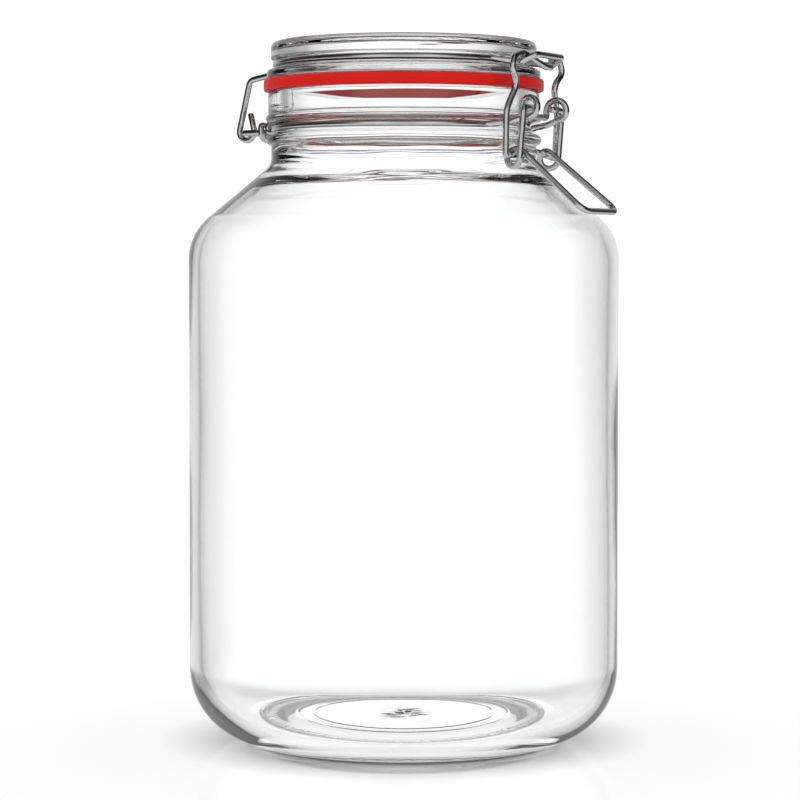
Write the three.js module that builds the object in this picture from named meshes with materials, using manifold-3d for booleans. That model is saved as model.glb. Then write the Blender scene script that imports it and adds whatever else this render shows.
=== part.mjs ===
// A clip top storage jar: a round glass jar with a glass lid, a rubber ring and a clip of bent steel wire.
// Millimetres, +Z up. The origin is the middle of the foot. The clip faces +X and the hinge faces -X.
import * as THREE from 'three';
import { mergeVertices } from 'three/addons/utils/BufferGeometryUtils.js';
import Module from 'manifold-3d';

const wasm = await Module();
wasm.setup();

// Driving dimensions of the jar
const bodyRadius = 82;
const wall = 4.5;
const footInner = 49;
const heelCentreR = 54;
const heelRadius = 28;
const floorRingR = 55;
const floorRingZ = 5.7;
const floorStepR = 35;
const floorStepZ = 8.4;
const nubRadius = 6;
const nubHeight = 1.4;
const underRise = 3.2;
const shoulderZ = 184;
const shoulderRadius = 20.4;
const shoulderTurn = 50;
const neckRadius = 50.5;
const neckFillet = 6;
const beadRadius = 52.5;
const lowerBeadZ = 229.3;
const upperBeadZ = 237.4;
const finishRadius = 51.7;
const mouthRadius = 44;
const rimZ = 247.7;
const rimRound = 1.5;

// Driving dimensions of the rubber ring and the lid
const seatGap = 0.3;
const ringInner = 44.6;
const ringOuter = 53.3;
const ringThickness = 3.9;
const ringRound = 0.8;
const plugInner = 38;
const plugOuter = 42.5;
const plugDepth = 0.8;
const plugRound = 0.3;
const flangeRadius = 52.2;
const flangeThickness = 3.7;
const bandRadius = 50.6;
const lidTopZ = 266.5;
const lidTopRound = 2.4;
const lidPlateZ = 257.4;
const dishRadius = 38;
const dishDepth = 2.6;

// Driving dimensions of the wires
const wireRadius = 1.2;
const wireGap = 0.4;
const lidWireR = 48.7;
const lidWireZ = 258;
const catchX = 62.3;
const catchZ = 259.2;
const catchHalf = 10.6;
const hingeX = -71.3;
const hingeZ = 233.6;
const hookZ = 234.3;
const hookRadius = 3.4;
const neckWireR = 49.5;
const neckWireZ = 233.6;
const hingeHalf = 3.2;
const pivotX = 59.7;
const pivotZ = 239.7;
const eyeletRadius = 3.7;
const leverLegHalf = 15.4;
const loopX = 54.9;
const loopZ = 221.3;
const loopRadius = 3.2;
const pinX = 54.6;
const pinZ = 222.2;
const leverReach = 18.2;
const handleX = 83.7;
const handleZ = 201.5;
const handleHalf = 14.2;
const crossbarX = 57.4;
const crossbarZ = 259.8;
const linkHalf = 19.9;

// Fineness of the round surfaces
const segments = 48;
const wireSides = 8;
const bendStep = 32;

const radians = THREE.MathUtils.degToRad;
const point = (x, y, z) => new THREE.Vector3(x, y, z);
const spot = (r, z) => new THREE.Vector2(r, z);
const across = point(0, 1, 0);
const outward = point(1, 0, 0);
const upward = point(0, 0, 1);

// Points of an arc in the radius and height plane, between two angles in degrees.
function arc(centreR, centreZ, radius, from, to, steps) {
  return Array.from({ length: steps + 1 }, (_, i) => {
    const angle = radians(from + ((to - from) * i) / steps);
    return spot(centreR + radius * Math.cos(angle), centreZ + radius * Math.sin(angle));
  });
}

// Shared corners become one vertex, and triangles that shrink to a line at the axis go.
function closed(geometry) {
  geometry.deleteAttribute('normal');
  geometry.deleteAttribute('uv');
  const merged = mergeVertices(geometry, 1e-4);
  const index = merged.getIndex().array;
  const kept = [];
  for (let i = 0; i < index.length; i += 3) {
    const [a, b, c] = index.slice(i, i + 3);
    if (a !== b && b !== c && c !== a) kept.push(a, b, c);
  }
  merged.setIndex(kept);
  merged.computeVertexNormals();
  return merged;
}

// A turned piece: the profile runs up its outside and back down its inside.
function turned(profile) {
  const lathe = new THREE.LatheGeometry(profile, segments);
  lathe.rotateX(Math.PI / 2);
  return closed(lathe);
}

function toSolid(geometry) {
  const vertProperties = Float32Array.from(geometry.getAttribute('position').array);
  const triVerts = Uint32Array.from(geometry.getIndex().array);
  return new wasm.Manifold(new wasm.Mesh({ numProp: 3, vertProperties, triVerts }));
}

// Several closed geometries joined to one body.
function joined(...geometries) {
  const [first, ...others] = geometries.map(toSolid);
  const mesh = others.reduce((sum, next) => sum.add(next), first).getMesh();
  const geometry = new THREE.BufferGeometry();
  geometry.setAttribute('position', new THREE.BufferAttribute(mesh.vertProperties, 3));
  geometry.setIndex(Array.from(mesh.triVerts));
  return closed(geometry);
}

// The centre line of a bent wire. Its steps fall on the stations, so straight runs take one step each.
class WirePath extends THREE.Curve {
  constructor(stations) {
    super();
    this.stations = stations;
  }

  getPoint(t, target = new THREE.Vector3()) {
    const last = this.stations.length - 1;
    const place = t * last;
    const i = Math.min(Math.round(place), last);
    const next = place > i ? Math.min(i + 1, last) : Math.max(i - 1, 0);
    return target.lerpVectors(this.stations[i], this.stations[next], Math.abs(place - i));
  }

  getUtoTmapping(u) {
    return u;
  }

  getTangent(t, target = new THREE.Vector3()) {
    const last = this.stations.length - 1;
    const i = Math.round(t * last);
    const into = this.stations[Math.max(i, 1)].clone().sub(this.stations[Math.max(i, 1) - 1]).normalize();
    const from = Math.min(i, last - 1);
    const out = this.stations[from + 1].clone().sub(this.stations[from]).normalize();
    return target.copy(into).add(out).normalize();
  }
}

// Round wire along its stations.
function wire(stations) {
  const section = new THREE.Shape().absarc(0, 0, wireRadius, 0, 2 * Math.PI);
  const steps = stations.length - 1;
  const extrudePath = new WirePath(stations);
  return closed(new THREE.ExtrudeGeometry(section, { steps, curveSegments: wireSides / 2, extrudePath }));
}

// Stations through a row of corners, each corner rounded to its bend radius as far as its runs allow.
// The radius is one number, or a list with one for each corner between the ends.
function bent(corners, radius) {
  const stations = [corners[0]];
  for (let i = 1; i < corners.length - 1; i += 1) {
    const before = corners[i].clone().sub(corners[i - 1]);
    const after = corners[i + 1].clone().sub(corners[i]);
    const room = 0.48 * Math.min(before.length(), after.length());
    const into = before.normalize();
    const out = after.normalize();
    const turn = into.angleTo(out);
    const bend = Array.isArray(radius) ? radius[i - 1] : radius;
    const setback = Math.min(bend * Math.tan(turn / 2), room);
    const steps = Math.max(1, Math.ceil(THREE.MathUtils.radToDeg(turn) / bendStep));
    const reach = setback / Math.sin(turn / 2);
    const centre = out.clone().sub(into).normalize().multiplyScalar(reach).add(corners[i]);
    const start = corners[i].clone().addScaledVector(into, -setback).sub(centre);
    const axis = into.clone().cross(out).normalize();
    for (let k = 0; k <= steps; k += 1) {
      stations.push(start.clone().applyAxisAngle(axis, (turn * k) / steps).add(centre));
    }
  }
  stations.push(corners[corners.length - 1]);
  return stations;
}

// Stations of a coil: it turns from direction a towards direction b, in degrees, and travels as it turns.
function coil(centre, a, b, radius, from, to, travel = point(0, 0, 0)) {
  const steps = Math.max(2, Math.ceil(Math.abs(to - from) / (bendStep * 1.15)));
  return Array.from({ length: steps + 1 }, (_, i) => {
    const angle = radians(from + ((to - from) * i) / steps);
    const place = centre.clone().addScaledVector(travel, i / steps);
    return place.addScaledVector(a, radius * Math.cos(angle)).addScaledVector(b, radius * Math.sin(angle));
  });
}

// Stations of a level ring about the jar's axis, between two angles in degrees.
function ring(radius, z, from, to) {
  const steps = Math.round((Math.abs(to - from) * segments) / 360);
  return arc(0, 0, radius, from, to, steps).map((p) => point(p.x, p.y, z));
}

const otherSide = (p) => point(p.x, -p.y, p.z);

// The same wire half on both sides of the clip's middle plane, joined at its first station.
const bothSides = (half) => [...half.slice(1).reverse().map(otherSide), ...half];

function jarGeometry() {
  const turn = radians(shoulderTurn);
  const shoulderR = bodyRadius - shoulderRadius;
  const filletR = neckRadius + neckFillet;
  const shoulderEnd = arc(shoulderR, shoulderZ, shoulderRadius, shoulderTurn, shoulderTurn, 1)[0];
  const slopeRun = shoulderEnd.x - (filletR - neckFillet * Math.cos(turn));
  const filletZ = shoulderEnd.y + slopeRun / Math.tan(turn) + neckFillet * Math.sin(turn);
  const lowerBead = 2.1;
  const upperBead = 1.6;
  const grooveHalf = (upperBeadZ - upperBead - lowerBeadZ - lowerBead) / 2;
  const grooveZ = lowerBeadZ + lowerBead + grooveHalf;
  const grooveR = neckWireR - wireRadius - wireGap + grooveHalf;
  const innerHeel = bodyRadius - wall - floorRingR;
  return turned([
    spot(0, underRise),
    spot(floorStepR, underRise - 0.3),
    spot(footInner - 1.5, 1.1),
    spot(footInner, 0),
    ...arc(heelCentreR, heelRadius, heelRadius, -90, 0, 7),
    ...arc(shoulderR, shoulderZ, shoulderRadius, 0, shoulderTurn, 4),
    ...arc(filletR, filletZ, neckFillet, 180 + shoulderTurn, 180, 3),
    ...arc(beadRadius - lowerBead, lowerBeadZ, lowerBead, -85, 70, 4),
    ...arc(grooveR, grooveZ, grooveHalf, 250, 110, 4),
    ...arc(beadRadius - upperBead, upperBeadZ, upperBead, -70, 60, 3),
    ...arc(finishRadius - rimRound, rimZ - rimRound, rimRound, 0, 90, 2),
    ...arc(mouthRadius + rimRound, rimZ - rimRound, rimRound, 90, 180, 2),
    spot(mouthRadius, upperBeadZ + 3),
    spot(neckRadius - wall, lowerBeadZ + 2),
    ...arc(filletR, filletZ, neckFillet + wall, 180, 180 + shoulderTurn, 2),
    ...arc(shoulderR, shoulderZ, shoulderRadius - wall, shoulderTurn, 0, 3),
    ...arc(floorRingR, floorRingZ + innerHeel, innerHeel, 0, -90, 6),
    spot(floorStepR + 2, floorStepZ - 0.9),
    spot(floorStepR, floorStepZ),
    spot(nubRadius + 1, floorStepZ + 0.4),
    spot(nubRadius - 1, floorStepZ + nubHeight),
    spot(0, floorStepZ + nubHeight + 0.2),
  ]);
}

function rubberRingGeometry() {
  const low = rimZ + seatGap;
  const high = low + ringThickness;
  const edgeR = ringOuter - ringRound;
  const profile = [
    spot(ringInner, low),
    ...arc(edgeR, low + ringRound, ringRound, -90, 0, 2),
    ...arc(edgeR, high - ringRound, ringRound, 0, 90, 2),
    spot(ringInner, high),
    spot(ringInner, low),
  ];
  return turned(profile);
}

function lidGeometry() {
  const seatZ = rimZ + seatGap + ringThickness + seatGap;
  const flangeTop = seatZ + flangeThickness;
  const flangeRound = 1.4;
  const grooveHalf = wireRadius + wireGap;
  const grooveR = lidWireR - wireRadius - wireGap + grooveHalf;
  const bandLow = lidWireZ + grooveHalf;
  return turned([
    spot(0, lidPlateZ),
    spot(plugInner - 2, lidPlateZ - 0.8),
    spot(plugInner, seatZ - plugDepth + plugRound),
    spot(plugInner + plugRound, seatZ - plugDepth),
    spot(plugOuter - plugRound, seatZ - plugDepth),
    spot(plugOuter, seatZ - plugDepth + plugRound),
    spot(plugOuter, seatZ),
    ...arc(flangeRadius - 1, seatZ + 1, 1, -90, 0, 2),
    ...arc(flangeRadius - flangeRound, flangeTop - flangeRound, flangeRound, 0, 90, 2),
    ...arc(grooveR, lidWireZ, grooveHalf, 255, 105, 4),
    ...arc(bandRadius - 0.9, bandLow + 0.9, 0.9, -60, 0, 1),
    ...arc(bandRadius - lidTopRound, lidTopZ - lidTopRound, lidTopRound, 0, 90, 3),
    spot(dishRadius + 4, lidTopZ),
    spot(dishRadius, lidTopZ - dishDepth + 0.5),
    spot(dishRadius - 3, lidTopZ - dishDepth),
    spot(0, lidTopZ - dishDepth),
  ]);
}

// Round the lid's groove, out over the flange to the catch bar, and down behind to the hinge hook.
function lidWireGeometry() {
  const armLow = point(57, 12.4, 256.4);
  const leaveAngle = 18.8;
  const weldGap = 0.6;
  const pitch = 360 / segments;
  const lastAngle = 180 - THREE.MathUtils.radToDeg(weldGap / lidWireR);
  const leave = ring(lidWireR, lidWireZ, leaveAngle, leaveAngle + pitch);
  const front = bent([
    point(catchX, 0, catchZ),
    point(catchX, catchHalf, catchZ),
    armLow,
    ...leave,
  ], 2.6);
  const loop = wire(bothSides([...front, ...ring(lidWireR, lidWireZ, leaveAngle + 2 * pitch, lastAngle)]));
  const tailRoot = point(-51.4, 0, lidWireZ - 0.2);
  const tailTop = point(-69.8, 0, 254.3);
  const cutEnd = point(-69.6, 0, 241.4);
  const hookStart = 165.3;
  const hookEnd = 374.4;
  const hook = coil(point(hingeX, 0, hookZ), outward, upward, hookRadius, hookStart, hookEnd);
  const tail = bent([
    point(-lidWireR + 0.7, 0, lidWireZ),
    tailRoot,
    tailTop,
    hook[0],
  ], 3);
  return joined(loop, wire([...tail, ...hook.slice(1), cutEnd]));
}

// Round the neck's groove, with an eyelet at each side of the clip. Behind, one end is drawn out to a narrow
// bar for the hinge, and the other end is wrapped round both arms of that bar.
function neckWireGeometry() {
  const barZ = 236.9;
  const leaveAngle = 22;
  const pitch = 360 / segments;
  const kink = point(53.3, 15.5, 234.4);
  const eyeletInner = 10;
  const eyeletOuter = 12.6;
  const eyeletTravel = point(0, eyeletOuter - eyeletInner, 0);
  const eyeletStart = point(pivotX, eyeletInner, pivotZ);
  const eyelet = coil(eyeletStart, outward, upward, eyeletRadius, 180, -90, eyeletTravel);
  const front = [
    ...bent([
      point(pivotX - eyeletRadius, 0, barZ),
      point(pivotX - eyeletRadius, eyeletInner, barZ),
      eyelet[0],
    ], 1.8),
    ...eyelet.slice(1, -1),
    ...bent([
      eyelet[eyelet.length - 1],
      kink,
      ...ring(neckWireR, neckWireZ, leaveAngle, leaveAngle + pitch),
    ], 5),
  ];
  const ringStart = leaveAngle + 2 * pitch;
  const armEnd = point(-53.2, -hingeHalf, hingeZ);
  const leaveRing = (half) => point(-Math.sqrt(neckWireR ** 2 - half ** 2), half, neckWireZ);
  const angleAt = (half) => 180 - THREE.MathUtils.radToDeg(Math.asin(half / neckWireR));
  const farRing = ring(neckWireR, neckWireZ, ringStart, angleAt(hingeHalf) - pitch);
  const bar = bent([
    farRing[farRing.length - 1],
    leaveRing(hingeHalf),
    point(hingeX, hingeHalf, hingeZ),
    point(hingeX, -hingeHalf, hingeZ),
    armEnd,
  ], 2);
  const wrapX = -57.4;
  const wrapStep = 0.9;
  const wrapReach = 2 * wireRadius + wireGap;
  const wrapHalf = hingeHalf + wrapReach;
  const wrapAt = (steps, side, rise) => {
    return point(wrapX - wrapStep * steps, side * wrapHalf, hingeZ + rise * wrapReach);
  };
  const nearRing = ring(neckWireR, neckWireZ, ringStart, angleAt(wrapHalf) - pitch);
  const nearEnd = bent([
    nearRing[nearRing.length - 1],
    leaveRing(wrapHalf),
    wrapAt(0, 1, 0),
    wrapAt(0.4, 1, 1),
    wrapAt(1.4, -1, 1),
    wrapAt(2.4, -1, -1),
    wrapAt(3.4, 1, -1),
    wrapAt(3.9, 1, 1),
    wrapAt(4.2, 0.45, 1),
  ], 2.6);
  const far = [...front, ...farRing.slice(0, -1), ...bar];
  const near = [...front, ...nearRing.slice(0, -1), ...nearEnd];
  return wire([...near.slice(1).reverse().map(otherSide), ...far]);
}

// Over the lid's catch arms and down to the lever, drawn in to a waist.
function linkWireGeometry() {
  const dipX = 61.8;
  const dipZ = 255;
  const dipHalf = 2.2;
  const crossbarInner = 11.4;
  const crossbarEnd = point(57.4, 18.4, 258);
  const shoulder = point(57.4, 20.4, 253.9);
  const waist = point(56.6, 14.4, 248.7);
  const hip = point(55.2, 20.6, 238.8);
  const pinGap = 0.5;
  const half = bent([
    point(dipX, 0, dipZ),
    point(dipX, dipHalf, dipZ),
    point(crossbarX, crossbarInner, crossbarZ),
    crossbarEnd,
    shoulder,
    waist,
    hip,
    point(pinX, linkHalf, pinZ - 0.2),
    point(pinX, leverReach + pinGap, pinZ),
  ], [5, 2.4, 3.2, 8, 7, 9, 2]);
  return wire(bothSides(half));
}

// Stubs in the eyelets, legs, loops that carry the link's ends, and the handle.
function leverWireGeometry() {
  const armHalf = 11.2;
  const legHalf = 15.6;
  const armAngle = 51;
  const stubInner = 6.5;
  const pinTip = point(53.2, 6.8, 224.2);
  const loopTravel = point(0, legHalf - armHalf, 0);
  const loop = coil(point(loopX, armHalf, loopZ), outward, upward, loopRadius, armAngle, 360, loopTravel);
  const handle = bent([
    point(handleX, 0, handleZ),
    point(handleX, handleHalf, handleZ),
    loop[0],
  ], 4);
  const leg = bent([
    loop[loop.length - 1],
    point(pivotX, leverLegHalf, pivotZ),
    point(pivotX, stubInner, pivotZ),
  ], 2);
  const bail = wire(bothSides([...handle, ...loop.slice(1, -1), ...leg]));
  const pin = [point(pinX, leverReach, pinZ), pinTip];
  return joined(bail, wire(pin), wire(pin.map(otherSide)));
}

const glass = { color: 0xeef2f1, roughness: 0.03, metalness: 0, transparent: true, opacity: 0.35 };
const rubber = { color: 0xcf1d18, roughness: 0.5, metalness: 0 };
const steel = { color: 0xc3c5c8, roughness: 0.18, metalness: 1 };

const pieces = [
  ['jar', jarGeometry(), glass],
  ['neck_wire', neckWireGeometry(), steel],
  ['lid', lidGeometry(), glass],
  ['rubber_ring', rubberRingGeometry(), rubber],
  ['lid_wire', lidWireGeometry(), steel],
  ['link_wire', linkWireGeometry(), steel],
  ['lever_wire', leverWireGeometry(), steel],
];

const clipTopJar = new THREE.Group();
for (const [name, geometry, finish] of pieces) {
  const mesh = new THREE.Mesh(geometry, new THREE.MeshStandardMaterial(finish));
  mesh.name = name;
  clipTopJar.add(mesh);
}

export default clipTopJar;
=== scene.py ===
import math
import random

import bpy
from mathutils import Matrix, Vector


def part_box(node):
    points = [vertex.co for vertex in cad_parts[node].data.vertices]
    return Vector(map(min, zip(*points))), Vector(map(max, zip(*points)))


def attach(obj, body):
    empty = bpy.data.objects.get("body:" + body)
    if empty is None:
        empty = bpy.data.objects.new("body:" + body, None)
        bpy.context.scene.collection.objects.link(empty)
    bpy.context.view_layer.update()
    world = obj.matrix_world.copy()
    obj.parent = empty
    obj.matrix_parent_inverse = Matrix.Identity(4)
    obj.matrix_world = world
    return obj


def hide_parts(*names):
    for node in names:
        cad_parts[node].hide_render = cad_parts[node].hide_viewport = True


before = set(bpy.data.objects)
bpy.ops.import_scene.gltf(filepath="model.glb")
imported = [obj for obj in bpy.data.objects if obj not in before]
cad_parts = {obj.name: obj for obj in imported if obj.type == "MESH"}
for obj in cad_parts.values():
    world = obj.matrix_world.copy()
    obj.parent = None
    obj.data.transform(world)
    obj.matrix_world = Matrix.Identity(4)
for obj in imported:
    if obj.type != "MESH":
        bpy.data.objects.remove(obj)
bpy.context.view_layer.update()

mm = 0.001
scene = bpy.context.scene
acrossJar = Vector((0, 1, 0))
towardClip = Vector((1, 0, 0))
upJar = Vector((0, 0, 1))
print("frame loaded:", ", ".join(sorted(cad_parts)))


def grey(shade):
    return (shade, shade, shade, 1)


# Shader values that Python's operators work on
class Value:
    def __init__(self, tree, socket):
        self.tree = tree
        self.socket = socket

    def __add__(self, other):
        return self.tree.math("ADD", self, other)

    def __radd__(self, other):
        return self.tree.math("ADD", other, self)

    def __sub__(self, other):
        return self.tree.math("SUBTRACT", self, other)

    def __rsub__(self, other):
        return self.tree.math("SUBTRACT", other, self)

    def __mul__(self, other):
        return self.tree.math("MULTIPLY", self, other)

    def __rmul__(self, other):
        return self.tree.math("MULTIPLY", other, self)

    def __truediv__(self, other):
        return self.tree.math("DIVIDE", self, other)

    def __rtruediv__(self, other):
        return self.tree.math("DIVIDE", other, self)

    def __pow__(self, other):
        return self.tree.math("POWER", self, other)

    def __rpow__(self, other):
        return self.tree.math("POWER", other, self)

    def __gt__(self, other):
        return self.tree.math("GREATER_THAN", self, other)

    def __lt__(self, other):
        return self.tree.math("LESS_THAN", self, other)


class NodeTree:
    def __init__(self, owner):
        owner.use_nodes = True
        self.nodes = owner.node_tree.nodes
        self.links = owner.node_tree.links
        self.nodes.clear()

    # Settings first, then the values or links of the sockets
    def add(self, kind, settings=None, sockets=None, output=0):
        node = self.nodes.new("ShaderNode" + kind)
        for name, setting in (settings or {}).items():
            if name == "stops":
                self.setStops(node.color_ramp, setting)
            else:
                setattr(node, name, setting)
        for key, value in (sockets or {}).items():
            if isinstance(value, Value):
                self.links.new(value.socket, node.inputs[key])
            else:
                node.inputs[key].default_value = value
        return Value(self, node.outputs[output]) if len(node.outputs) else None

    def setStops(self, ramp, stops):
        while len(ramp.elements) < len(stops):
            ramp.elements.new(1.0)
        for element, (position, colour) in zip(ramp.elements, stops):
            element.position = position
            element.color = colour

    def math(self, operation, a, b):
        return self.add("Math", {"operation": operation}, {0: a, 1: b})

    # A Mix node's sockets for colours are 6 and 7, and its output for them is 2
    def mixColour(self, factor, a, b, blend="MIX"):
        settings = {"data_type": "RGBA", "blend_type": blend}
        return self.add("Mix", settings, {0: factor, 6: a, 7: b}, output=2)

    def greyRamp(self, factor, stops):
        shades = [(position, grey(shade)) for position, shade in stops]
        return self.add("ValToRGB", {"stops": shades}, {0: factor})

    def split(self, vector):
        node = self.add("SeparateXYZ", None, {0: vector}).socket.node
        return [Value(self, socket) for socket in node.outputs]

    # Distance from the jar's axis and height of the shaded point
    def radiusAndHeight(self, where):
        x, y, z = self.split(where)
        return (x * x + y * y) ** 0.5, z

    def principled(self, sockets):
        shader = self.add("BsdfPrincipled", None, sockets)
        self.add("OutputMaterial", None, {0: shader})


# Outlines in the radius and height plane, in millimetres
def arcPoints(centreR, centreZ, radius, start, end, steps):
    turns = [math.radians(start + (end - start) * i / steps) for i in range(steps + 1)]
    return [(centreR + radius * math.cos(t), centreZ + radius * math.sin(t)) for t in turns]


# Extra points on long straight runs, so that the glass can be slightly uneven
def withMorePoints(outline, spacing):
    dense = [outline[0]]
    for (r0, z0), (r1, z1) in zip(outline, outline[1:]):
        count = max(1, math.ceil(math.hypot(r1 - r0, z1 - z0) / spacing))
        dense += [(r0 + (r1 - r0) * k / count, z0 + (z1 - z0) * k / count) for k in range(1, count + 1)]
    return dense


def meshPiece(name, vertices, faces, material):
    mesh = bpy.data.meshes.new(name)
    mesh.from_pydata([tuple(c * mm for c in v) for v in vertices], [], faces)
    mesh.validate()
    mesh.polygons.foreach_set("use_smooth", [True] * len(mesh.polygons))
    mesh.materials.append(material)
    piece = bpy.data.objects.new(name, mesh)
    scene.collection.objects.link(piece)
    return piece


# A turned piece. Its outline runs up the outside and down the inside;
# uneven moves a point outwards, and lift moves it up.
def turnedPiece(name, outline, segments, material, uneven, lift=None, closedLoop=False):
    vertices = []
    rows = []
    for r, z in outline:
        if r < 1e-6:  # one point on the axis stands for the whole row
            rows.append([len(vertices)] * segments)
            vertices.append((0, 0, z + (lift(0, z, 0) if lift else 0)))
            continue
        rows.append(list(range(len(vertices), len(vertices) + segments)))
        for k in range(segments):
            turn = 2 * math.pi * k / segments
            offset = uneven(r, z, turn)
            height = z + (lift(r, z, turn) if lift else 0)
            vertices.append(((r + offset) * math.cos(turn), (r + offset) * math.sin(turn), height))
    faces = []
    nextRows = rows[1:] + rows[:1] if closedLoop else rows[1:]
    for low, high in zip(rows, nextRows):
        for k in range(segments):
            n = (k + 1) % segments
            corners = [low[k], low[n], high[n], high[k]]
            faces.append(list(dict.fromkeys(corners)))
    return meshPiece(name, vertices, faces, material)


# Clear glass with the faint ripple of a mould, streaks that run round the piece,
# and a stippled bearing ring; a dark tint round the foot's outer edge is painted contact shadow
def clearGlass(name, look):
    material = bpy.data.materials.new(name)
    tree = NodeTree(material)
    where = tree.add("TexCoord", output="Object")
    radius, z = tree.radiusAndHeight(where)

    def inRing(inner, outer, height):
        return (radius > inner * mm) * (radius < outer * mm) * (z < height * mm)

    onFoot = inRing(look["footInner"], look["footOuter"], look["footHeight"])
    # Painted contact shadow: a dark tint on the ring of glass where the foot meets the table
    onPaintedContactShadow = inRing(look["contactShadowInner"], look["contactShadowOuter"], look["contactShadowHeight"])
    inBand = (z > look["streakFrom"] * mm) * (z < look["streakTo"] * mm)
    ripple = tree.add("TexNoise", None, {"Vector": where, "Scale": look["rippleSize"], "Detail": 1.5})
    stretched = tree.add("Mapping", None, {"Vector": where, "Scale": look["streakSize"]})
    streaks = tree.add("TexNoise", None, {"Vector": stretched, "Scale": 1.0, "Detail": 2.0})
    dots = tree.add("TexVoronoi", None, {"Vector": where, "Scale": look["stippleSize"]})
    normal = tree.add("Bump", None, {"Height": ripple, "Strength": 0.35, "Distance": look["rippleDepth"]})
    normal = tree.add("Bump", None, {"Height": streaks * inBand, "Strength": 0.6,
                                     "Distance": look["streakDepth"], "Normal": normal})
    normal = tree.add("Bump", None, {"Height": dots * onFoot, "Strength": 1.0,
                                     "Distance": look["stippleDepth"], "Normal": normal})
    colour = tree.mixColour(onPaintedContactShadow, look["colour"], look["paintedContactShadowColour"])
    tree.principled({"Base Color": colour, "Roughness": onFoot * look["footFrost"], "IOR": look["index"],
                     "Transmission Weight": 1.0, "Normal": normal})
    return material


# Satin rubber, slightly patchy; its inner face, the one that shows through the neck, gets a brighter red:
# painted light
def redRubber():
    look = {"colour": (0.78, 0.014, 0.009, 1), "shade": (0.62, 0.007, 0.005, 1), "shadeShare": 0.6,
            # inner: a brighter copy of the red for the inner face, painted light
            "inner": (0.98, 0.012, 0.008, 1), "innerR": 45.0, "patchSize": 60.0,
            "grainSize": 900.0, "grainDepth": 0.00006, "roughness": 0.34, "patchRoughness": 0.14}
    material = bpy.data.materials.new("red_rubber")
    tree = NodeTree(material)
    where = tree.add("TexCoord", output="Object")
    radius, _ = tree.radiusAndHeight(where)
    patches = tree.add("TexNoise", None, {"Vector": where, "Scale": look["patchSize"], "Detail": 3.0})
    colour = tree.mixColour(patches * look["shadeShare"], look["colour"], look["shade"])
    # Painted light: the inner face that shows through the neck gets the brighter red
    colour = tree.mixColour(radius < look["innerR"] * mm, colour, look["inner"])
    grain = tree.add("TexNoise", None, {"Vector": where, "Scale": look["grainSize"], "Detail": 2.0})
    normal = tree.add("Bump", None, {"Height": grain, "Strength": 0.25, "Distance": look["grainDepth"]})
    tree.principled({"Base Color": colour, "Roughness": look["roughness"] + patches * look["patchRoughness"],
                     "Specular IOR Level": 0.12, "Normal": normal})
    return material


# Drawn wire: streaks run along it, so the texture is stretched along the wire's own length
def drawnSteel():
    look = {"bright": (0.62, 0.625, 0.63, 1), "dull": (0.44, 0.445, 0.45, 1),
            "streakSize": (60.0, 14.0, 1.0), "scratchSize": (400.0, 60.0, 1.0), "scratchDepth": 0.00004,
            "roughness": 0.07, "streakRoughness": 0.14}
    material = bpy.data.materials.new("drawn_steel")
    tree = NodeTree(material)
    along = tree.add("UVMap", {"uv_map": "along"})

    def drawnLines(size, detail):
        stretched = tree.add("Mapping", None, {"Vector": along, "Scale": size})
        sockets = {"Vector": stretched, "Scale": 1.0, "Detail": detail}
        return tree.add("TexNoise", {"noise_dimensions": "2D"}, sockets)

    streaks = drawnLines(look["streakSize"], 5.0)
    scratches = drawnLines(look["scratchSize"], 2.0)
    colour = tree.mixColour(streaks, look["bright"], look["dull"])
    normal = tree.add("Bump", None, {"Height": scratches, "Strength": 0.12, "Distance": look["scratchDepth"]})
    tree.principled({"Base Color": colour, "Metallic": 1.0,
                     "Roughness": look["roughness"] + streaks * look["streakRoughness"], "Normal": normal})
    return material


sodaGlass = {
    "colour": (0.985, 0.993, 0.99, 1), "index": 1.51, "rippleSize": 38.0, "rippleDepth": 0.00012,
    "streakSize": (22.0, 22.0, 420.0), "streakDepth": 0.00009, "streakFrom": 212.0, "streakTo": 239.0,
    "footInner": 49.0, "footOuter": 54.5, "footHeight": 1.2, "footFrost": 0.06,
    "stippleSize": 620.0, "stippleDepth": 0.0004,
    # A dark tint on the foot's outer edge: painted contact shadow
    "contactShadowInner": 53.2, "contactShadowOuter": 56.4, "contactShadowHeight": 1.0, "paintedContactShadowColour": (0.1, 0.1, 0.1, 1),
}
lidSodaGlass = {**sodaGlass, "streakFrom": 250.0, "streakTo": 270.0, "streakDepth": 0.00003}
glassJarMaterial = clearGlass("clear_glass_jar", sodaGlass)
glassLidMaterial = clearGlass("clear_glass_lid", lidSodaGlass)
rubberMaterial = redRubber()
steelMaterial = drawnSteel()
print("materials made")


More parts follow.
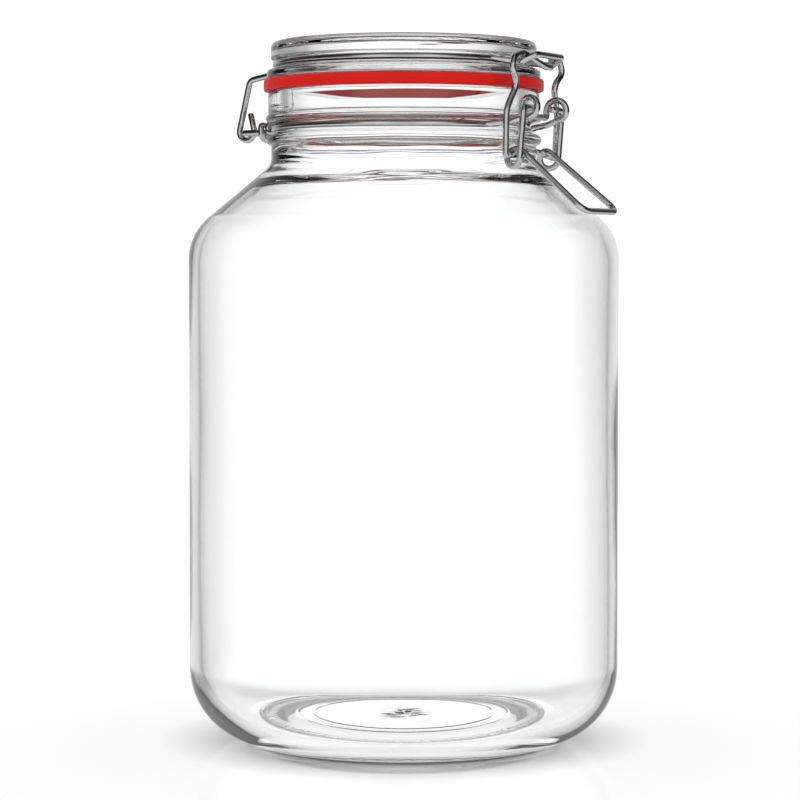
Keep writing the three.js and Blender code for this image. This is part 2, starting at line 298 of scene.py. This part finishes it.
# The jar, in millimetres. Body size and rim height come from the frame.
_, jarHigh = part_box("jar")
jarGlass = {
    "bodyR": jarHigh.x / mm, "rimZ": jarHigh.z / mm, "wall": 4.1, "rimRound": 1.5, "segments": 180,
    "underRise": 3.2, "underFlatDrop": 0.3, "underFlatEdge": 4.5, "footSlope": (1.5, 1.1),
    "footInner": 49.0, "footOuter": 55.0, "footRound": 0.5, "footStep": 0.95, "stepFillet": 0.4,
    "heelCentreR": 54.0, "heelRadius": 28.0,
    "floorZ": 5.7, "innerHeel": 23.5, "floorR": 60.0, "floorBand": 3.0, "floorRise": 0.3, "riseR": 58.0,
    "ridges": [55.3, 52.6, 41.0, 35.0], "ridgeHeight": 0.2, "ridgeHalf": 0.75,
    "nubR": 15.0, "nubHeight": 0.8,
    "shoulderZ": 184.0, "shoulderRadius": 20.4, "shoulderTurn": 50.0,
    "innerShoulder": 20.0, "shoulderDrop": 1.1,
    "neckR": 50.5, "neckFillet": 6.0, "grooveFloorR": 47.9, "beadR": 52.5,
    "lowerBead": 2.1, "lowerBeadZ": 229.3, "upperBead": 1.6, "upperBeadZ": 237.4,
    "finishR": 51.7, "mouthR": 44.0, "mouthAboveBead": 3.0, "taperAboveBead": 2.0,
    "rows": {"outside": 5.0, "neck": 0.7, "body": 2.5, "floor": 0.5},  # how far apart the points are
}


def jarOutline(g):
    turn = math.radians(g["shoulderTurn"])
    shoulderR = g["bodyR"] - g["shoulderRadius"]
    filletR = g["neckR"] + g["neckFillet"]
    endR = shoulderR + g["shoulderRadius"] * math.cos(turn)
    endZ = g["shoulderZ"] + g["shoulderRadius"] * math.sin(turn)
    slopeRun = endR - (filletR - g["neckFillet"] * math.cos(turn))
    filletZ = endZ + slopeRun / math.tan(turn) + g["neckFillet"] * math.sin(turn)
    lowerBead, upperBead = g["lowerBead"], g["upperBead"]
    grooveHalf = (g["upperBeadZ"] - upperBead - g["lowerBeadZ"] - lowerBead) / 2
    grooveZ = g["lowerBeadZ"] + lowerBead + grooveHalf
    rimR = g["finishR"] - g["rimRound"]
    roundZ = g["rimZ"] - g["rimRound"]
    slopeIn, slopeZ = g["footSlope"]
    fillet = g["stepFillet"]
    outside = [(0, g["underRise"])]
    outside += [(g["footInner"] - g["underFlatEdge"], g["underRise"] - g["underFlatDrop"])]
    outside += [(g["footInner"] - slopeIn, slopeZ), (g["footInner"], 0)]
    outside += arcPoints(g["footOuter"] - g["footRound"], g["footRound"], g["footRound"], -90, 0, 6)
    outside += arcPoints(g["footOuter"] + fillet, g["footStep"] - fillet, fillet, 180, 90, 5)
    outside += arcPoints(g["heelCentreR"], g["heelRadius"], g["heelRadius"], -75, 0, 32)
    outside += arcPoints(shoulderR, g["shoulderZ"], g["shoulderRadius"], 0, g["shoulderTurn"], 18)
    outside += arcPoints(filletR, filletZ, g["neckFillet"], 180 + g["shoulderTurn"], 180, 10)
    outside += arcPoints(g["beadR"] - lowerBead, g["lowerBeadZ"], lowerBead, -85, 70, 14)
    outside += arcPoints(g["grooveFloorR"] + grooveHalf, grooveZ, grooveHalf, 250, 110, 12)
    outside += arcPoints(g["beadR"] - upperBead, g["upperBeadZ"], upperBead, -70, 60, 12)
    outside += arcPoints(rimR, roundZ, g["rimRound"], 0, 90, 8)
    neck = arcPoints(g["mouthR"] + g["rimRound"], roundZ, g["rimRound"], 90, 180, 8)
    neck += [(g["mouthR"], g["upperBeadZ"] + g["mouthAboveBead"])]
    neck += [(g["neckR"] - g["wall"], g["lowerBeadZ"] + g["taperAboveBead"])]
    neck += arcPoints(filletR, filletZ, g["neckFillet"] + g["wall"], 180, 180 + g["shoulderTurn"], 12)
    innerShoulderR = g["bodyR"] - g["wall"] - g["innerShoulder"]
    innerShoulderZ = g["shoulderZ"] - g["shoulderDrop"]
    body = arcPoints(innerShoulderR, innerShoulderZ, g["innerShoulder"], g["shoulderTurn"], 0, 16)
    neck.append(body[0])
    heelR = g["bodyR"] - g["wall"] - g["innerHeel"]
    heelZ = g["floorZ"] + g["innerHeel"]
    body += arcPoints(heelR, heelZ, g["innerHeel"], 0, -70, 28)
    bottom = arcPoints(heelR, heelZ, g["innerHeel"], -72, -90, 12) + [(0, g["floorZ"])]
    rows = g["rows"]
    inside = withMorePoints(neck, rows["neck"]) + withMorePoints(body, rows["body"])[1:]
    inside += withMorePoints(bottom, rows["floor"])
    return withMorePoints(outside, rows["outside"]), inside


jarOutside, jarInside = jarOutline(jarGlass)
insidePoints = set(jarInside)


# Waves of a given length along and around, in millimetres and turns, that add up to about one
def waves(seed, count, lengths, turns):
    draw = random.Random(seed)
    parts = [(draw.randint(*turns), 2 * math.pi / draw.uniform(*lengths), draw.uniform(0, 6.28),
              draw.uniform(0, 6.28), draw.uniform(0.4, 1.0)) for _ in range(count)]
    total = math.sqrt(sum(a * a for _, _, _, _, a in parts))
    return lambda along, turn: sum(a * math.sin(n * turn + p) * math.sin(f * along + q)
                                   for n, f, p, q, a in parts) / total


# Blown glass is smooth outside, where the mould was, and uneven inside, most of all below the neck
jarUneven = {
    "outside": 0.03, "body": 0.25, "neck": 0.12, "neckZ": 229.0, "neckHalf": 11.0,
    "collar": 0.8, "collarZ": 215.6, "collarHalf": 6.4, "collarDrift": 0.9,
    "crease": 1.0, "creaseHalf": 3.0, "creaseSlant": 5.0, "creaseTurn": -1.047,
    "creaseLeast": 0.2, "creaseSwell": 0.9,
}
bodyWaves = waves(seed=4, count=9, lengths=(70, 600), turns=(1, 9))
neckWaves = waves(seed=9, count=12, lengths=(5, 14), turns=(2, 14))
driftWaves = waves(seed=15, count=7, lengths=(400, 900), turns=(2, 7))


def smoothBump(distance):
    return math.cos(math.pi / 2 * distance) ** 2 if abs(distance) < 1 else 0.0


def unevenJar(r, z, turn):
    u = jarUneven
    if (r, z) not in insidePoints:
        return u["outside"] * bodyWaves(z, turn)
    offset = u["body"] * bodyWaves(z, turn)
    offset += u["neck"] * neckWaves(z, turn) * smoothBump((z - u["neckZ"]) / u["neckHalf"])
    fromCollar = z - u["collarZ"] - u["collarDrift"] * driftWaves(z, turn)
    offset -= u["collar"] * smoothBump(fromCollar / u["collarHalf"])
    sideways = math.sin(turn - u["creaseTurn"])  # two creases cross where this is nought
    slant = u["creaseSlant"] * sideways
    creases = smoothBump((fromCollar - slant) / u["creaseHalf"])
    creases += smoothBump((fromCollar + slant) / u["creaseHalf"])
    return offset - u["crease"] * (u["creaseLeast"] + u["creaseSwell"] * sideways ** 2) * creases


# The floor inside rises to the middle, with thin mould rings and a low lumpy nub
def floorRise(r, z, turn):
    g = jarGlass
    if r > g["floorR"] or not g["floorZ"] - 0.1 < z < g["floorZ"] + g["floorBand"]:
        return 0.0
    rise = g["floorRise"] * smoothBump(min(r / g["riseR"], 1))
    rise += sum(g["ridgeHeight"] * smoothBump((r - ridge) / g["ridgeHalf"]) for ridge in g["ridges"])
    lumps = 0.7 + 0.5 * math.sin(3 * turn + 0.4) * min(r / 5, 1) + 0.3 * math.sin(5 * turn + r / 1.7)
    return rise + g["nubHeight"] * smoothBump(r / g["nubR"]) * lumps


jarPiece = turnedPiece("jar_glass", jarOutside + jarInside, jarGlass["segments"], glassJarMaterial,
                       unevenJar, floorRise)
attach(jarPiece, "jar_body")
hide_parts("jar")
print("jar made:", len(jarPiece.data.polygons), "faces")


# The lid, in millimetres. Its top and flange come from the frame.
# Edges are given by their points' distances from a corner.
_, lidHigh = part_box("lid")
lidGlass = {
    "topZ": lidHigh.z / mm, "flangeR": lidHigh.x / mm, "seatZ": 252.2, "segments": 192, "uneven": 0.02,
    "flangeThickness": 3.7, "flangeLowRound": 1.0, "flangeTopRound": 1.4,
    "plateZ": 257.4, "plateEdge": [(-1.4, -0.8), (-0.3, -2.0)],
    "plugInner": 38.0, "plugOuter": 42.5, "plugDepth": 0.8, "plugRound": 0.3,
    "grooveFloorR": 47.1, "grooveHalf": 1.6, "grooveZ": 258.0,
    "bandR": 50.6, "bandRound": 0.9, "topRound": 2.4,
    "dishR": 38.0, "dishDepth": 2.6, "dishLip": [(4.0, 0), (2.5, -0.35)],
    "dishFoot": [(0, 0.5), (-1.0, 0.15), (-3.0, 0)],
}


def pointsFrom(r, z, steps):
    return [(r + outwards, z + up) for outwards, up in steps]


def lidOutline(g):
    flangeTop = g["seatZ"] + g["flangeThickness"]
    plugZ = g["seatZ"] - g["plugDepth"] + g["plugRound"]
    bandLow = g["grooveZ"] + g["grooveHalf"]
    dishZ = g["topZ"] - g["dishDepth"]
    low, top, band = g["flangeLowRound"], g["flangeTopRound"], g["bandRound"]
    outline = [(0, g["plateZ"])] + pointsFrom(g["plugInner"], g["plateZ"], g["plateEdge"])
    outline += arcPoints(g["plugInner"] + g["plugRound"], plugZ, g["plugRound"], 180, 270, 6)
    outline += arcPoints(g["plugOuter"] - g["plugRound"], plugZ, g["plugRound"], -90, 0, 6)
    outline += [(g["plugOuter"], g["seatZ"])]
    outline += arcPoints(g["flangeR"] - low, g["seatZ"] + low, low, -90, 0, 8)
    outline += arcPoints(g["flangeR"] - top, flangeTop - top, top, 0, 90, 10)
    outline += arcPoints(g["grooveFloorR"] + g["grooveHalf"], g["grooveZ"], g["grooveHalf"], 255, 105, 12)
    outline += arcPoints(g["bandR"] - band, bandLow + band, band, -60, 0, 6)
    outline += arcPoints(g["bandR"] - g["topRound"], g["topZ"] - g["topRound"], g["topRound"], 0, 90, 12)
    outline += pointsFrom(g["dishR"], g["topZ"], g["dishLip"])
    outline += pointsFrom(g["dishR"], dishZ, g["dishFoot"]) + [(0, dishZ)]
    return withMorePoints(outline, 4.0)


lidWaves = waves(seed=11, count=12, lengths=(4, 14), turns=(1, 12))
lidPiece = turnedPiece("lid_glass", lidOutline(lidGlass), lidGlass["segments"], glassLidMaterial,
                       lambda r, z, turn: lidGlass["uneven"] * lidWaves(z, turn))
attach(lidPiece, "lid_body")
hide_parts("lid")
print("lid made:", len(lidPiece.data.polygons), "faces")


# The rubber ring, squeezed until it meets rim and lid, with a mould line round the middle
ringLow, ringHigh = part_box("rubber_ring")
ringSwell = 0.25
sealRing = {
    "lowZ": ringLow.z / mm - ringSwell, "highZ": ringHigh.z / mm + ringSwell, "outerR": ringHigh.x / mm,
    "innerR": 44.6, "edgeRound": 0.7, "seamHalf": 0.32, "seamHeight": 0.14, "segments": 192, "uneven": 0.06,
}


def sealRingOutline(g):
    edgeR = g["outerR"] - g["edgeRound"]
    middleZ = (g["lowZ"] + g["highZ"]) / 2
    outline = [(g["innerR"], g["lowZ"])]
    outline += arcPoints(edgeR, g["lowZ"] + g["edgeRound"], g["edgeRound"], -90, 0, 6)
    outline += [(g["outerR"], middleZ - g["seamHalf"]), (g["outerR"] + g["seamHeight"], middleZ)]
    outline += [(g["outerR"], middleZ + g["seamHalf"])]
    outline += arcPoints(edgeR, g["highZ"] - g["edgeRound"], g["edgeRound"], 0, 90, 6)
    outline += [(g["innerR"], g["highZ"])]
    return outline


rubberWaves = waves(seed=23, count=8, lengths=(60, 300), turns=(1, 9))
sealPiece = turnedPiece("rubber_seal", sealRingOutline(sealRing), sealRing["segments"], rubberMaterial,
                        lambda r, z, turn: sealRing["uneven"] * rubberWaves(z, turn), closedLoop=True)
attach(sealPiece, "lid_body")
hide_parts("rubber_ring")
print("rubber ring made")


# Wire runs, in millimetres: bends between straight stretches, coils and rings
wire = {
    "radius": 1.2, "gap": 0.4, "sides": 20, "endRound": 0.35, "shortest": 0.05, "streakPace": 0.1,
    "bendStep": 8.0, "bendShare": 0.48, "ringStep": 2.5,
    "ringLead": 7.5, "ringRest": 10.0,  # degrees that a ring leaves to the bend before it
}


def place(x, y, z):
    return Vector((x, y, z))


def bentRun(corners, radii):
    run = [corners[0]]
    if not isinstance(radii, list):
        radii = [radii] * (len(corners) - 2)
    for before, corner, after, radius in zip(corners, corners[1:], corners[2:], radii):
        room = wire["bendShare"] * min((corner - before).length, (after - corner).length)
        into = (corner - before).normalized()
        out = (after - corner).normalized()
        turn = into.angle(out)
        setback = min(radius * math.tan(turn / 2), room)
        steps = max(2, math.ceil(math.degrees(turn) / wire["bendStep"]))
        centre = corner + (out - into).normalized() * (setback / math.sin(turn / 2))
        start = corner - into * setback - centre
        axis = into.cross(out).normalized()
        run += [centre + Matrix.Rotation(turn * k / steps, 3, axis) @ start for k in range(steps + 1)]
    return run + [corners[-1]]


def coilRun(centre, a, b, radius, start, end, travel=Vector((0, 0, 0))):
    steps = max(2, math.ceil(abs(end - start) / wire["bendStep"]))
    turns = [(i / steps, math.radians(start + (end - start) * i / steps)) for i in range(steps + 1)]
    return [centre + travel * share + (a * math.cos(t) + b * math.sin(t)) * radius for share, t in turns]


def ringRun(radius, z, start, end):
    steps = max(1, math.ceil(abs(end - start) / wire["ringStep"]))
    return [place(r, y, z) for r, y in arcPoints(0, 0, radius, start, end, steps)]


# The first stretch of a ring, straight, for the bend that leads into it
def ringLead(radius, z, start):
    return [place(x, y, z) for x, y in arcPoints(0, 0, radius, start, start + wire["ringLead"], 1)]


def otherSide(run):
    return [place(p.x, -p.y, p.z) for p in run]


def bothSides(half):
    return otherSide(half[:0:-1]) + half


# A round wire along its run, with slightly rounded cut ends and its length kept for the streaks
def wirePiece(name, run):
    run = [run[0]] + [b for a, b in zip(run, run[1:]) if (b - a).length > wire["shortest"]]
    ways = [(b - a).normalized() for a, b in zip(run, run[1:])]
    tangents = [ways[0]] + [(a + b).normalized() for a, b in zip(ways, ways[1:])] + [ways[-1]]
    side = tangents[0].orthogonal().normalized()
    sections = []
    length = 0.0
    for k, (spot, way) in enumerate(zip(run, tangents)):
        if k:
            length += (spot - run[k - 1]).length
            side = tangents[k - 1].rotation_difference(way) @ side
        sections.append((spot, way, side.copy(), length, wire["radius"]))
    r = wire["endRound"]
    first = sections[0]
    last = sections[-1]
    sections[0] = (first[0] + first[1] * r, first[1], first[2], r, wire["radius"])
    sections[-1] = (last[0] - last[1] * r, last[1], last[2], last[3] - r, wire["radius"])
    sections.insert(0, (first[0], first[1], first[2], 0.0, wire["radius"] - r))
    sections.append((last[0], last[1], last[2], last[3], wire["radius"] - r))
    sides = wire["sides"]
    vertices = []
    for spot, way, normal, _, radius in sections:
        binormal = way.cross(normal)
        for k in range(sides):
            turn = 2 * math.pi * k / sides
            vertices.append(spot + (normal * math.cos(turn) + binormal * math.sin(turn)) * radius)
    faces = []
    along = []
    for i in range(len(sections) - 1):
        for k in range(sides):
            n = (k + 1) % sides
            faces.append([i * sides + k, i * sides + n, (i + 1) * sides + n, (i + 1) * sides + k])
            low = sections[i][3] * wire["streakPace"]
            high = sections[i + 1][3] * wire["streakPace"]
            along += [(k / sides, low), ((k + 1) / sides, low), ((k + 1) / sides, high), (k / sides, high)]
    for row in (list(range(sides))[::-1], list(range(len(vertices) - sides, len(vertices)))):
        faces.append(row)
        along += [(0.0, 0.0)] * sides
    piece = meshPiece(name, vertices, faces, steelMaterial)
    layer = piece.data.uv_layers.new(name="along")
    layer.data.foreach_set("uv", [c for uv in along for c in uv])
    return piece


# One closed mesh from wires that are welded to each other
def welded(piece, *others):
    for other in others:
        modifier = piece.modifiers.new("weld", "BOOLEAN")
        modifier.operation = "UNION"
        modifier.solver = "MANIFOLD"
        modifier.object = other
    made = bpy.data.meshes.new_from_object(piece.evaluated_get(bpy.context.evaluated_depsgraph_get()))
    piece.modifiers.clear()
    piece.data = made
    for other in others:
        bpy.data.objects.remove(other)
    return piece


lidWire = {
    "ringR": 48.7, "ringZ": 258.0, "leaveAngle": 18.8, "ringEnd": 179.3, "weldDepth": 0.7,
    "catchX": 62.3, "catchZ": 259.2, "catchHalf": 10.6, "armLow": (57.0, 12.4, 256.4), "catchBend": 2.6,
    "tailRoot": (-51.4, 0, 257.8), "tailTop": (-69.8, 0, 254.3), "tailBend": 3.0,
    "hookX": -71.3, "hookZ": 234.3, "hookRadius": 3.4, "hookStart": 165.3, "hookEnd": 374.4,
    "cutEnd": (-69.6, 0, 241.4),
}


def lidWireRuns(g):
    leave = g["leaveAngle"]
    front = bentRun([
        place(g["catchX"], 0, g["catchZ"]),
        place(g["catchX"], g["catchHalf"], g["catchZ"]),
        place(*g["armLow"]),
        *ringLead(g["ringR"], g["ringZ"], leave),
    ], g["catchBend"])
    loop = bothSides(front + ringRun(g["ringR"], g["ringZ"], leave + wire["ringRest"], g["ringEnd"]))
    centre = place(g["hookX"], 0, g["hookZ"])
    hook = coilRun(centre, towardClip, upJar, g["hookRadius"], g["hookStart"], g["hookEnd"])
    root = place(-g["ringR"] + g["weldDepth"], 0, g["ringZ"])
    tail = bentRun([root, place(*g["tailRoot"]), place(*g["tailTop"]), hook[0]], g["tailBend"])
    return loop, tail + hook[1:] + [place(*g["cutEnd"])]


lidLoop, lidTail = lidWireRuns(lidWire)
lidWirePiece = welded(wirePiece("lid_wire_steel", lidLoop), wirePiece("lid_wire_tail", lidTail))

neckWire = {
    "ringR": 49.5, "ringZ": 233.6, "leaveAngle": 22.0, "ringShort": 5.0,
    "pivotX": 59.7, "pivotZ": 239.7, "barZ": 236.9, "barBend": 1.8,
    "eyeletRadius": 3.7, "eyeletInner": 10.0, "eyeletOuter": 12.6,
    "kink": (53.3, 15.5, 234.4), "kinkBend": 5.0,
    "hingeX": -71.3, "hingeZ": 233.6, "hingeHalf": 3.2, "armEndX": -53.2, "hingeBend": 2.0,
    "wrapX": -57.4, "wrapStep": 0.9, "wrapBend": 2.6,
    # Corners of the wrapped end: steps along the arms, side and rise
    "wrap": [(0, 1, 0), (0.4, 1, 1), (1.4, -1, 1), (2.4, -1, -1), (3.4, 1, -1), (3.9, 1, 1), (4.2, 0.45, 1)],
}


def neckWireRun(g):
    hingeX, hingeZ, half = g["hingeX"], g["hingeZ"], g["hingeHalf"]
    innerX = g["pivotX"] - g["eyeletRadius"]
    eyelet = coilRun(place(g["pivotX"], g["eyeletInner"], g["pivotZ"]), towardClip, upJar, g["eyeletRadius"],
                     180, -90, acrossJar * (g["eyeletOuter"] - g["eyeletInner"]))
    bar = bentRun([place(innerX, 0, g["barZ"]), place(innerX, g["eyeletInner"], g["barZ"]), eyelet[0]],
                  g["barBend"])
    ringStart = ringLead(g["ringR"], g["ringZ"], g["leaveAngle"])
    front = bar + eyelet[1:-1] + bentRun([eyelet[-1], place(*g["kink"]), *ringStart], g["kinkBend"])
    reach = 2 * wire["radius"] + wire["gap"]
    wrapHalf = half + reach

    def ringTo(side):
        start = g["leaveAngle"] + wire["ringRest"]
        angle = 180 - math.degrees(math.asin(side / g["ringR"]))
        corner = place(-math.sqrt(g["ringR"] ** 2 - side ** 2), side, g["ringZ"])
        return ringRun(g["ringR"], g["ringZ"], start, angle - g["ringShort"]), corner

    def wrapAt(steps, side, rise):
        return place(g["wrapX"] - g["wrapStep"] * steps, side * wrapHalf, hingeZ + rise * reach)

    farRing, farCorner = ringTo(half)
    hingeBar = bentRun([farRing[-1], farCorner, place(hingeX, half, hingeZ), place(hingeX, -half, hingeZ),
                        place(g["armEndX"], -half, hingeZ)], g["hingeBend"])
    nearRing, nearCorner = ringTo(wrapHalf)
    nearEnd = bentRun([nearRing[-1], nearCorner, *[wrapAt(*corner) for corner in g["wrap"]]], g["wrapBend"])
    far = front + farRing[:-1] + hingeBar
    near = front + nearRing[:-1] + nearEnd
    return otherSide(near[:0:-1]) + far


neckWirePiece = wirePiece("neck_wire_steel", neckWireRun(neckWire))

linkWire = {
    "dipX": 61.8, "dipZ": 255.0, "dipHalf": 2.2, "crossbarX": 57.4, "crossbarZ": 259.8,
    "crossbarInner": 11.4, "crossbarEnd": (57.4, 18.4, 258.0), "shoulder": (57.4, 20.4, 253.9),
    "waist": (56.6, 14.4, 248.7), "hip": (55.2, 20.6, 238.8), "bends": [5, 2.4, 3.2, 8, 7, 9, 2],
    "endHalf": 19.9, "endDrop": 0.2, "pinX": 54.6, "pinZ": 222.2, "pinReach": 18.7,
}


def linkWireRun(g):
    return bothSides(bentRun([
        place(g["dipX"], 0, g["dipZ"]),
        place(g["dipX"], g["dipHalf"], g["dipZ"]),
        place(g["crossbarX"], g["crossbarInner"], g["crossbarZ"]),
        place(*g["crossbarEnd"]),
        place(*g["shoulder"]),
        place(*g["waist"]),
        place(*g["hip"]),
        place(g["pinX"], g["endHalf"], g["pinZ"] - g["endDrop"]),
        place(g["pinX"], g["pinReach"], g["pinZ"]),
    ], g["bends"]))


linkWirePiece = wirePiece("link_wire_steel", linkWireRun(linkWire))

leverWire = {
    "handleX": 83.7, "handleZ": 201.5, "handleHalf": 14.2, "handleBend": 4.0,
    "loopX": 54.9, "loopZ": 221.3, "loopRadius": 3.2, "armHalf": 11.2, "armAngle": 51.0,
    "legHalf": 15.6, "stubOuter": 15.4, "stubInner": 6.5, "stubBend": 2.0,
    "pinRoot": (54.6, 18.2, 222.2), "pinTip": (53.2, 6.8, 224.2),
}


def leverWireRuns(g):
    start = place(g["loopX"], g["armHalf"], g["loopZ"])
    travel = acrossJar * (g["legHalf"] - g["armHalf"])
    loop = coilRun(start, towardClip, upJar, g["loopRadius"], g["armAngle"], 360, travel)
    handle = bentRun([place(g["handleX"], 0, g["handleZ"]),
                      place(g["handleX"], g["handleHalf"], g["handleZ"]), loop[0]], g["handleBend"])
    pivotX, pivotZ = neckWire["pivotX"], neckWire["pivotZ"]
    leg = bentRun([loop[-1], place(pivotX, g["stubOuter"], pivotZ), place(pivotX, g["stubInner"], pivotZ)],
                  g["stubBend"])
    pin = [place(*g["pinRoot"]), place(*g["pinTip"])]
    return bothSides(handle + loop[1:-1] + leg), pin


leverRun, leverPin = leverWireRuns(leverWire)
leverWirePiece = welded(wirePiece("lever_wire_steel", leverRun), wirePiece("pin_near", leverPin),
                        wirePiece("pin_far", otherSide(leverPin)))

wirePieces = [
    (lidWirePiece, "lid_wire", "lid_body"),
    (neckWirePiece, "neck_wire", "jar_body"),
    (linkWirePiece, "link_wire", "link_body"),
    (leverWirePiece, "lever_wire", "lever_body"),
]
for piece, node, body in wirePieces:
    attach(piece, body)
    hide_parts(node)
print("wires made")


# Studio, in metres: a light table as floor, a white wall of light behind and a dimmer room in front.
# Lists by turn go from 0 degrees, straight behind; lists by height from -1, straight down, to 1, straight up.
studio = {
    "floorSide": 30.0, "floorColour": 0.55, "floorGloss": 0.1, "floorGlow": 0.42,
    # Radii of the painted shadow: no glow within the first, full glow beyond the second
    "paintedShadowR": 0.052, "paintedShadowFadeR": 0.094,
    "behind": (-0.5, 0.866, 0.0), "beside": (0.866, 0.5, 0.0),
    "lightStrength": 1.24, "fill": 0.83, "backdrop": 0.85,
    # How far the light table takes the place of the wall, by height
    "tableShare": [(-0.36, 1.0), (-0.2, 0.0)],
    # Seen through the glass: by turn, by height, and the table by height
    "wallLight": [(0, 1.0), (8, 0.98), (16, 0.82), (24, 0.72), (30, 0.6), (34, 0.42), (42, 0.34),
                  (60, 0.36), (80, 0.55), (100, 0.65), (125, 0.65), (150, 0.65), (180, 0.7)],
    "heightLight": [(-1.0, 0.7), (-0.6, 0.7), (-0.38, 0.9), (-0.28, 1.0), (0.22, 1.0),
                    (0.32, 0.75), (0.42, 0.22), (0.65, 0.08), (1.0, 0.2)],
    "tableLight": [(-1.0, 0.75), (-0.65, 0.8), (-0.45, 0.7), (-0.25, 0.55)],
    # Mirrored in glass and wire: by turn, by height, and the table by turn
    "glossWall": [(0, 0.64), (6, 0.6), (12, 0.56), (20, 0.5), (34, 0.38), (44, 0.06), (104, 0.02),
                  (130, 0.1), (146, 0.8), (160, 0.95), (170, 0.65), (180, 0.6)],
    "glossHeight": [(-1.0, 0.25), (-0.6, 0.45), (-0.25, 1.0), (0.35, 1.0), (0.6, 0.3), (1.0, 0.45)],
    "glossTable": [(0, 0.25), (14, 0.3), (30, 0.65), (60, 0.7), (180, 0.8)],
}


def lightTable(g):
    half = g["floorSide"] / 2
    corners = [(-half, -half, 0), (half, -half, 0), (half, half, 0), (-half, half, 0)]
    mesh = bpy.data.meshes.new("light_table")
    mesh.from_pydata(corners, [], [(0, 1, 2, 3)])
    floor = bpy.data.objects.new("light_table", mesh)
    scene.collection.objects.link(floor)
    material = bpy.data.materials.new("white_acrylic")
    tree = NodeTree(material)
    radius, _ = tree.radiusAndHeight(tree.add("TexCoord", output="Object"))
    # Painted shadow: the floor's glow fades out beneath and around the jar
    glow = tree.greyRamp(radius, [(g["paintedShadowR"], 0.0), (g["paintedShadowFadeR"], 1.0)])  # none beneath the jar
    tree.principled({"Base Color": grey(g["floorColour"]), "Roughness": g["floorGloss"],
                     "Specular IOR Level": 0.35, "Emission Color": glow, "Emission Strength": g["floorGlow"]})
    mesh.materials.append(material)
    # Through the glass and mirrored, the lower half of the studio's light shows in place of the floor
    floor.visible_transmission = False
    floor.visible_glossy = False


def studioLight(g):
    world = bpy.data.worlds.new("studio")
    scene.world = world
    tree = NodeTree(world)
    way = tree.add("TexCoord", output="Generated")
    behind = tree.add("VectorMath", {"operation": "DOT_PRODUCT"}, {0: way, 1: g["behind"]}, output="Value")
    beside = tree.add("VectorMath", {"operation": "DOT_PRODUCT"}, {0: way, 1: g["beside"]}, output="Value")
    turn = tree.math("ABSOLUTE", tree.math("ARCTAN2", beside, behind), 0) / math.pi
    height = tree.split(way)[2] * 0.5 + 0.5

    def byTurn(stops):
        return tree.greyRamp(turn, [(angle / 180, shade) for angle, shade in stops])

    def byHeight(stops):
        return tree.greyRamp(height, [(h * 0.5 + 0.5, shade) for h, shade in stops])

    def room(walls, heights, table):
        walls = tree.mixColour(1.0, byTurn(walls), byHeight(heights), "MULTIPLY")
        return tree.mixColour(byHeight(g["tableShare"]), walls, table)

    def forRays(kind, light, other):
        return tree.mixColour(tree.add("LightPath", output="Is " + kind + " Ray"), light, other)

    light = room(g["wallLight"], g["heightLight"], byHeight(g["tableLight"]))
    mirrored = room(g["glossWall"], g["glossHeight"], byTurn(g["glossTable"]))
    light = forRays("Reflection", light, mirrored)
    light = forRays("Camera", light, grey(g["backdrop"]))
    light = forRays("Diffuse", light, grey(g["fill"]))
    background = tree.add("Background", None, {"Color": light, "Strength": g["lightStrength"]})
    tree.add("OutputWorld", None, {0: background})


lightTable(studio)
studioLight(studio)
scene.view_settings.view_transform = "Standard"

# Camera at the photograph's place, in millimetres, for a square frame
view = {"eye": (544.5, -943.1, 181.5), "aim": (-1.22, -0.7, 130.15), "lens": 128.0, "sensor": 36.0}
cameraData = bpy.data.cameras.new("photo_camera")
cameraData.lens = view["lens"]
cameraData.sensor_width = view["sensor"]
camera = bpy.data.objects.new("photo_camera", cameraData)
camera.location = Vector(view["eye"]) * mm
camera.rotation_euler = (Vector(view["aim"]) - Vector(view["eye"])).to_track_quat("-Z", "Y").to_euler()
scene.collection.objects.link(camera)
scene.camera = camera
print("studio ready")
